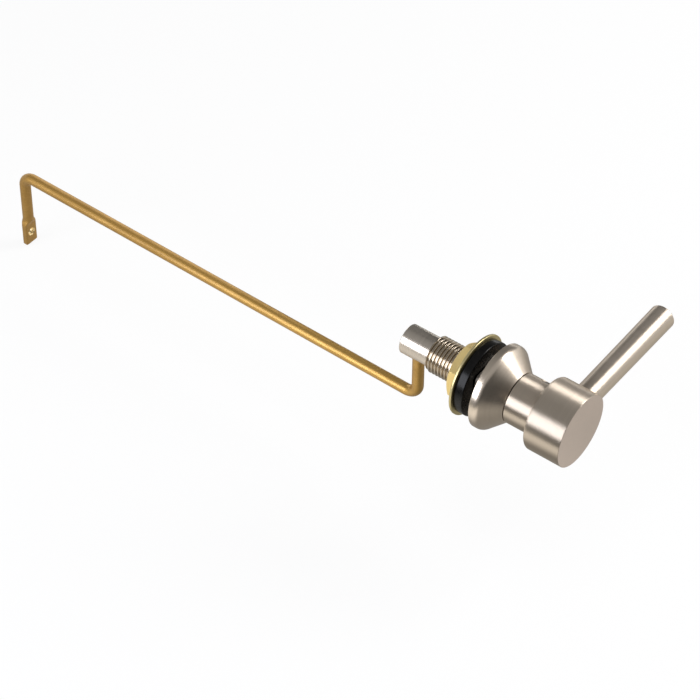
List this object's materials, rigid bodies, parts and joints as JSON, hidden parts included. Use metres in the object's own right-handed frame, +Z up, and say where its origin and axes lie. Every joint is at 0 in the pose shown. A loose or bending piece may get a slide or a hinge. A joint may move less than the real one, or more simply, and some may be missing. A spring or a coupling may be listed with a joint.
{
  "type": "toilet tank trip lever",
  "caption": "Tank trip lever: stepped round hub with a side rod handle, cone escutcheon, threaded shank with gasket and lock nut, and a bent brass arm with a drilled flat tip.",
  "frame": {"origin": "on the spindle's axis, in the plane of the escutcheon's rim, which is the tank's outer face", "axes": "+Y along the spindle into the tank, +X along the handle at rest, +Z up; the arm hangs towards -Z"},
  "size_m": [0.0864, 0.2833, 0.0825],
  "materials": {
    "satin_nickel": "satin nickel plate, finely brushed round each turned surface",
    "bright_nickel": "bright nickel plate on a cut thread",
    "dark_steel": "black oxide steel",
    "black_nylon": "moulded black nylon",
    "white_acetal": "moulded natural acetal",
    "black_rubber": "moulded black rubber, soft sheen",
    "machined_brass": "pale machined brass",
    "raw_brass": "raw drawn brass rod, dull golden brown with draw marks"
  },
  "bodies": {
    "mount": {"escutcheon": "satin_nickel", "threaded_shank": "bright_nickel", "front_bush": "white_acetal", "rear_bush": "white_acetal", "thrust_washer": "black_nylon"},
    "lever": {"hub": "satin_nickel", "handle_rod": "satin_nickel", "handle_stud": "dark_steel", "spindle": "satin_nickel", "friction_ring": "black_rubber", "hub_set_screw": "dark_steel", "arm_set_screw": "dark_steel"},
    "arm": {"arm_rod": "raw_brass"},
    "seal": {"gasket": "black_rubber"},
    "nut": {"lock_nut": "machined_brass"}
  },
  "joints": [
    {"name": "lever_turn", "type": "hinge", "parent": "mount", "child": "lever", "pos_m": [0, 0, 0], "axis": [0, 1, 0], "range_deg": [0, 50]},
    {"name": "arm_swivel", "type": "hinge", "parent": "lever", "child": "arm", "pos_m": [0, 0.03515, 0], "axis": [0, 0, 1], "range_deg": [-90, 90]},
    {"name": "seal_slide", "type": "slide", "parent": "mount", "child": "seal", "axis": [0, 1, 0], "range_m": [0, 0.0105]},
    {"name": "nut_turn", "type": "hinge", "parent": "seal", "child": "nut", "pos_m": [0, 0.0116, 0], "axis": [0, -1, 0], "range_deg": [0, 2640]}
  ],
  "couplings": [
    {"joint": "nut_turn", "follows": "seal_slide", "rad_per_m": 4188.8}
  ]
}
